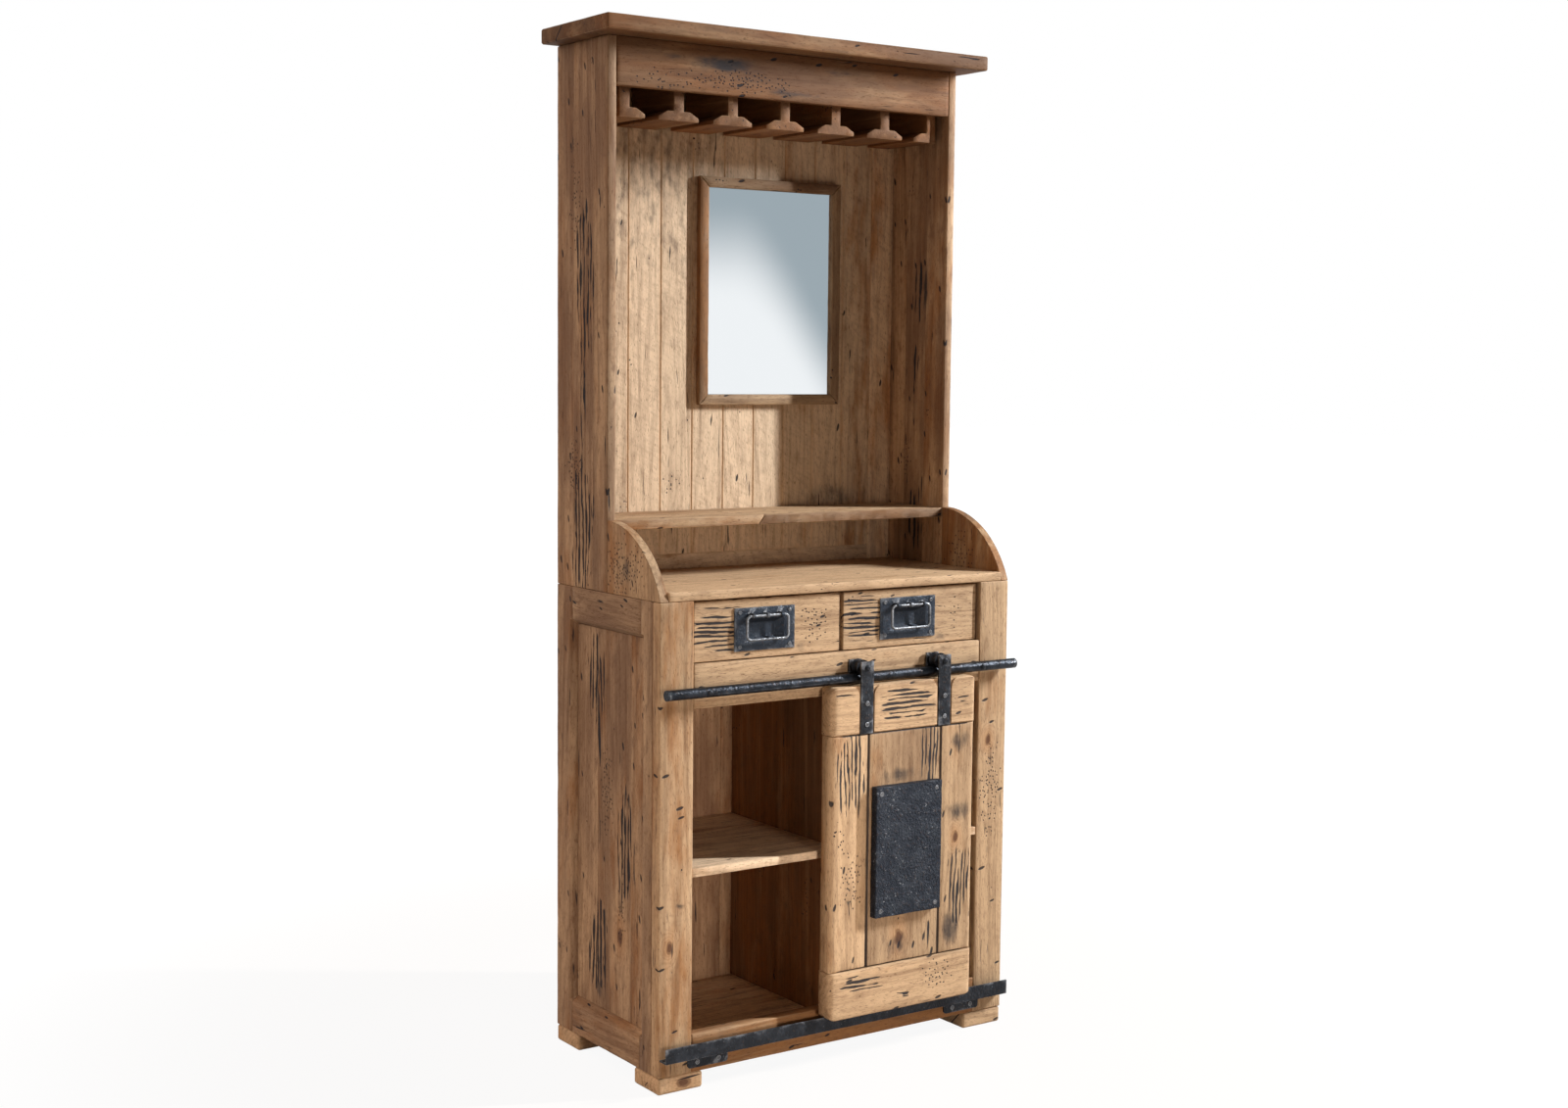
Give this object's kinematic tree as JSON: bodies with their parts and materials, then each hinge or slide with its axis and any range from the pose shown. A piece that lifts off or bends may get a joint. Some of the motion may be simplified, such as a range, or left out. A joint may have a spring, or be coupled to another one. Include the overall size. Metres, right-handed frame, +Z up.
{
  "type": "bar cabinet",
  "caption": "Rustic wooden bar cabinet: tall hutch with mirror and hanging glass rails over a low cupboard with two drawers and a sliding door on a pipe rail.",
  "frame": {"origin": "middle of the bounding box's underside, on the floor between the feet", "axes": "+Z up, +X to the cabinet's right as seen from the front, +Y from the front to the wall behind"},
  "size_m": [0.858, 0.435, 1.9],
  "materials": {
    "face_wood": "reclaimed hardwood, light oil, knots and cracks",
    "inner_wood": "reclaimed hardwood boards, plain sanded",
    "black_iron": "black lacquered iron, satin",
    "worn_iron": "black iron rod, worn bright along its outer side",
    "cast_iron": "black cast iron, slightly pitted",
    "mirror": "plain silvered glass"
  },
  "bodies": {
    "cabinet": {"front_feet": "face_wood", "rear_feet": "face_wood", "front_left_stile": "face_wood", "front_right_stile": "face_wood", "drawer_rail": "face_wood", "front_bottom_rail": "face_wood", "left_side_frame": "face_wood", "left_side_panel": "face_wood", "right_side_frame": "face_wood", "right_side_panel": "face_wood", "bottom_board": "inner_wood", "partition": "inner_wood", "left_shelf": "inner_wood", "right_shelf": "inner_wood", "lower_back": "inner_wood", "hutch_back_frame": "inner_wood", "hutch_back_planks": "inner_wood", "counter_board": "face_wood", "hutch_left_side": "face_wood", "left_bracket": "face_wood", "hutch_right_side": "face_wood", "right_bracket": "face_wood", "fascia": "face_wood", "top_board": "face_wood", "hutch_shelf": "face_wood", "shelf_lipping": "face_wood", "glass_rails": "face_wood", "mirror_frame": "face_wood", "mirror_glass": "mirror", "rail_pipe": "black_iron", "pipe_plugs": "black_iron", "pipe_standoffs": "black_iron", "pipe_bolts": "black_iron", "bottom_guide": "black_iron", "guide_screws": "black_iron", "drawer_runners": "inner_wood"},
    "door": {"door_top_rail": "face_wood", "door_bottom_rail": "face_wood", "door_left_plank": "face_wood", "door_middle_plank": "face_wood", "door_right_plank": "face_wood", "door_plate": "cast_iron", "plate_screws": "black_iron", "hanger_straps": "black_iron", "hanger_bolts": "black_iron", "roller_axles": "black_iron"},
    "left_roller": {"left_roller": "black_iron"},
    "right_roller": {"right_roller": "black_iron"},
    "left_drawer": {"left_drawer_front": "face_wood", "left_drawer_box": "inner_wood", "left_drawer_bottom": "inner_wood", "left_handle_plate": "black_iron", "left_handle_screws": "black_iron"},
    "left_bail": {"left_bail": "worn_iron"},
    "right_drawer": {"right_drawer_front": "face_wood", "right_drawer_box": "inner_wood", "right_drawer_bottom": "inner_wood", "right_handle_plate": "black_iron", "right_handle_screws": "black_iron"},
    "right_bail": {"right_bail": "worn_iron"}
  },
  "joints": [
    {"name": "door_slide", "type": "slide", "parent": "cabinet", "child": "door", "axis": [1, 0, 0], "range_m": [-0.308, 0.081]},
    {"name": "left_roller_spin", "type": "hinge", "parent": "door", "child": "left_roller", "pos_m": [0.0225, -0.179, 0.741], "axis": [0, 1, 0], "range_deg": [-1660, 440]},
    {"name": "right_roller_spin", "type": "hinge", "parent": "door", "child": "right_roller", "pos_m": [0.2045, -0.179, 0.741], "axis": [0, 1, 0], "range_deg": [-1660, 440]},
    {"name": "left_drawer_slide", "type": "slide", "parent": "cabinet", "child": "left_drawer", "axis": [0, -1, 0], "range_m": [0, 0.25]},
    {"name": "left_bail_swing", "type": "hinge", "parent": "left_drawer", "child": "left_bail", "pos_m": [-0.172, -0.162, 0.8465], "axis": [-1, 0, 0], "range_deg": [0, 95]},
    {"name": "right_drawer_slide", "type": "slide", "parent": "cabinet", "child": "right_drawer", "axis": [0, -1, 0], "range_m": [0, 0.25]},
    {"name": "right_bail_swing", "type": "hinge", "parent": "right_drawer", "child": "right_bail", "pos_m": [0.153, -0.162, 0.8465], "axis": [-1, 0, 0], "range_deg": [0, 95]}
  ],
  "couplings": [
    {"joint": "left_roller_spin", "follows": "door_slide", "rad_per_m": 93.458},
    {"joint": "right_roller_spin", "follows": "door_slide", "rad_per_m": 93.458}
  ]
}
